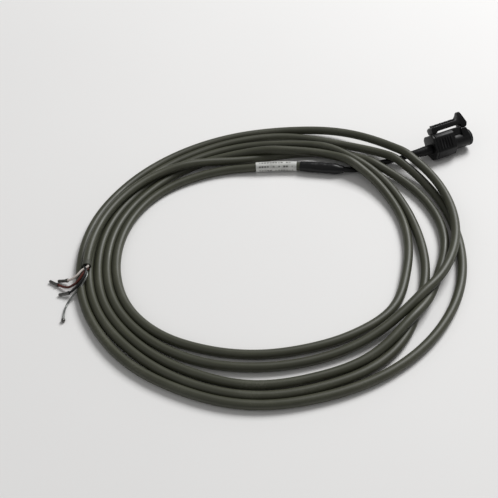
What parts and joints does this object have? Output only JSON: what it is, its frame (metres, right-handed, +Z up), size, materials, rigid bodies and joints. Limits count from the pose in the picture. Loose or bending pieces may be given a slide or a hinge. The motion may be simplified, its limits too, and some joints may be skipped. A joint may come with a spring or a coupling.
{
  "type": "flame sensor probe lead",
  "caption": "Coiled grey sensor cable with bare cores at one end, spliced to a thin black lead that ends in a small latching round-nosed plug.",
  "frame": {"origin": "on the surface that the lead lies on, under the middle of the plug with its boot", "axes": "+X along the plug's axis out of its nose, +Z up; the plug lies rolled on a lower chamfer and the coil lies beyond -X"},
  "size_m": [0.2409, 0.1871, 0.019],
  "materials": {
    "plug_black": "black moulded plastic, satin",
    "latch_black": "black moulded plastic, satin",
    "seal_rubber": "soft black rubber",
    "insert_grey": "dark grey moulded insert",
    "contact_tin": "tin plated, slightly dull",
    "core_black": "thin insulated core",
    "core_white": "thin insulated core",
    "core_brown": "thin insulated core",
    "drain_tin": "tinned stranded wire",
    "lead_black": "smooth black sheath",
    "sleeve_black": "shrunk black sleeve",
    "label_white": "whitish marker sleeve",
    "cable_grey": "matt olive grey sheath"
  },
  "bodies": {
    "lead": {"plug_housing": "plug_black", "rear_cover": "plug_black", "strain_boot": "plug_black", "nose_seal": "seal_rubber", "wire_seal": "seal_rubber", "terminal_lock": "insert_grey", "contact_carrier": "insert_grey", "contact_1": "contact_tin", "contact_2": "contact_tin", "contact_3": "contact_tin", "plug_core_1": "core_black", "plug_core_2": "core_black", "plug_core_3": "core_black", "black_lead": "lead_black", "splice_sleeve": "sleeve_black", "splice_crimp_1": "contact_tin", "splice_crimp_2": "contact_tin", "splice_crimp_3": "contact_tin", "splice_core_1": "core_black", "splice_core_2": "core_black", "splice_core_3": "core_black", "label_sleeve": "label_white", "cable_start": "cable_grey", "cable_coil": "cable_grey", "cable_end": "cable_grey", "end_core_white": "core_white", "end_core_brown": "core_brown", "end_core_black": "core_black", "drain_wire": "drain_tin", "ferrule_white": "contact_tin", "ferrule_brown": "contact_tin", "ferrule_black": "contact_tin", "ferrule_drain": "contact_tin"},
    "latch": {"latch_lever": "latch_black"}
  },
  "joints": [
    {"name": "latch_press", "type": "hinge", "parent": "lead", "child": "latch", "pos_m": [-0.00124, 0.00279, 0.0124], "axis": [0, 0.7442, -0.6679], "range_deg": [0, 3.5], "stiffness_Nm_per_rad": 1.2}
  ]
}
